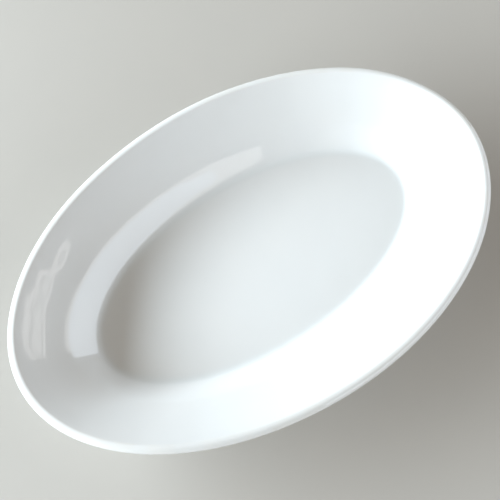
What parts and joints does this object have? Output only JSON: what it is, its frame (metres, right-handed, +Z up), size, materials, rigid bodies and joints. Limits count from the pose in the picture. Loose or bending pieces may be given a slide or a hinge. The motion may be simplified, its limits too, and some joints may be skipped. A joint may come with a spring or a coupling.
{
  "type": "serving platter",
  "caption": "Deep oval serving platter in glazed white china, with a wide sloping rim, a thick rounded lip, a flat well and a dry standing ring.",
  "frame": {"origin": "on the table, under the middle of the platter", "axes": "+X along the long axis, +Y across the platter, +Z up out of the well"},
  "size_m": [0.36, 0.2332, 0.047],
  "materials": {
    "bisque": "matte",
    "dry_foot": "matte",
    "glaze": "gloss"
  },
  "bodies": {
    "root": {"clay_body": "bisque", "foot_ring": "dry_foot", "glaze_coat": "glaze", "base_glaze": "glaze"}
  },
  "joints": []
}
